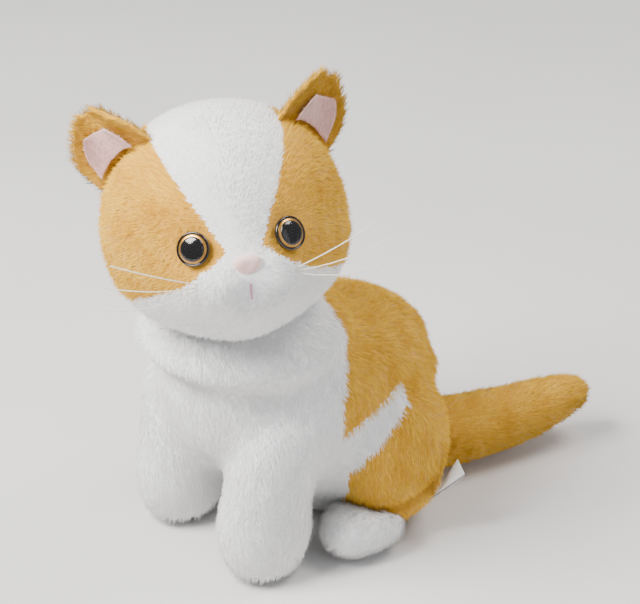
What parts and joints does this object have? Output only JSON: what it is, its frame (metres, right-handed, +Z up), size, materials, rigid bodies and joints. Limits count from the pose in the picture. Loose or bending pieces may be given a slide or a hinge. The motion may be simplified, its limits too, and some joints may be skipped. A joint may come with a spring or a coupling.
{
  "type": "plush cat",
  "caption": "Seated short-pile plush cat with stitched colour panels, plastic safety eyes, nylon whiskers, cupped ears and a stuffed tail.",
  "frame": {"origin": "on the resting plane, under the middle of the sewn base", "axes": "+Z up; the body faces -Y; the cat's left is +X"},
  "size_m": [0.1509, 0.284, 0.2375],
  "materials": {
    "gold_plush": "matte",
    "white_plush": "matte",
    "pink_plush": "matte",
    "fibre": "matte",
    "nose_flock": "matte",
    "mouth_thread": "matte",
    "seam_thread": "matte",
    "black_plastic": "gloss",
    "iris_foil": "satin",
    "clear_plastic": "gloss",
    "washer_plastic": "satin",
    "whisker_nylon": "satin",
    "label_satin": "satin"
  },
  "bodies": {
    "torso": {"back_panel_left": "gold_plush", "back_panel_right": "gold_plush", "base_panel": "white_plush", "chest_panel": "white_plush", "flank_panel_left": "white_plush", "flank_panel_right": "white_plush", "foreleg_left_cover": "white_plush", "foreleg_left_stuffing": "fibre", "foreleg_right_cover": "white_plush", "foreleg_right_stuffing": "fibre", "haunch_left_cover": "gold_plush", "haunch_left_stuffing": "fibre", "haunch_right_cover": "gold_plush", "haunch_right_stuffing": "fibre", "hind_paw_left_cover": "white_plush", "hind_paw_left_stuffing": "fibre", "hind_paw_right_cover": "white_plush", "hind_paw_right_stuffing": "fibre", "rump_panel": "gold_plush", "torso_stuffing": "fibre"},
    "head": {"blaze_panel": "white_plush", "cheek_panel_left": "gold_plush", "cheek_panel_right": "gold_plush", "eye_base_left": "black_plastic", "eye_base_right": "black_plastic", "eye_iris_left": "iris_foil", "eye_iris_right": "iris_foil", "eye_lens_left": "clear_plastic", "eye_lens_right": "clear_plastic", "eye_pupil_left": "black_plastic", "eye_pupil_right": "black_plastic", "eye_washer_left": "washer_plastic", "eye_washer_right": "washer_plastic", "head_back_panel": "gold_plush", "head_stuffing": "fibre", "jaw_panel": "white_plush", "mouth_stitch": "mouth_thread", "muzzle_panel": "white_plush", "nose": "nose_flock", "whisker_left_1": "whisker_nylon", "whisker_left_2": "whisker_nylon", "whisker_left_3": "whisker_nylon", "whisker_right_1": "whisker_nylon", "whisker_right_2": "whisker_nylon", "whisker_right_3": "whisker_nylon"},
    "neck_seam": {"neck_seam_thread": "seam_thread"},
    "ear_left": {"ear_lining_left": "pink_plush", "ear_outer_left": "gold_plush"},
    "ear_right": {"ear_lining_right": "pink_plush", "ear_outer_right": "gold_plush"},
    "tail": {"tail_cover": "gold_plush", "tail_stuffing": "fibre"},
    "label": {"sewn_label": "label_satin"}
  },
  "joints": [
    {"name": "head_turn", "type": "hinge", "parent": "torso", "child": "neck_seam", "pos_m": [0, -0.047, 0.1], "axis": [0, 0, 1], "range_deg": [-20, 20], "stiffness_Nm_per_rad": 0.5},
    {"name": "head_nod", "type": "hinge", "parent": "neck_seam", "child": "head", "pos_m": [0, -0.047, 0.1], "axis": [0.4617, 0.887, 0], "range_deg": [-8, 8], "stiffness_Nm_per_rad": 0.9},
    {"name": "ear_fold_left", "type": "hinge", "parent": "head", "child": "ear_left", "pos_m": [0.01145, -0.01897, 0.21155], "axis": [-0.0591, 0.8926, -0.447], "range_deg": [-10, 16], "stiffness_Nm_per_rad": 0.02},
    {"name": "ear_fold_right", "type": "hinge", "parent": "head", "child": "ear_right", "pos_m": [-0.02747, -0.09375, 0.20566], "axis": [0.7329, 0.4018, 0.5491], "range_deg": [-10, 16], "stiffness_Nm_per_rad": 0.02},
    {"name": "tail_swing", "type": "hinge", "parent": "torso", "child": "tail", "pos_m": [0.013, 0.034, 0.0215], "axis": [0, 0, 1], "range_deg": [-15, 15], "stiffness_Nm_per_rad": 0.06},
    {"name": "label_flap", "type": "hinge", "parent": "torso", "child": "label", "pos_m": [0.0634, 0.01591, 0.02214], "axis": [-0.3888, 0.8532, -0.3477], "range_deg": [-3, 30], "stiffness_Nm_per_rad": 0.002}
  ]
}
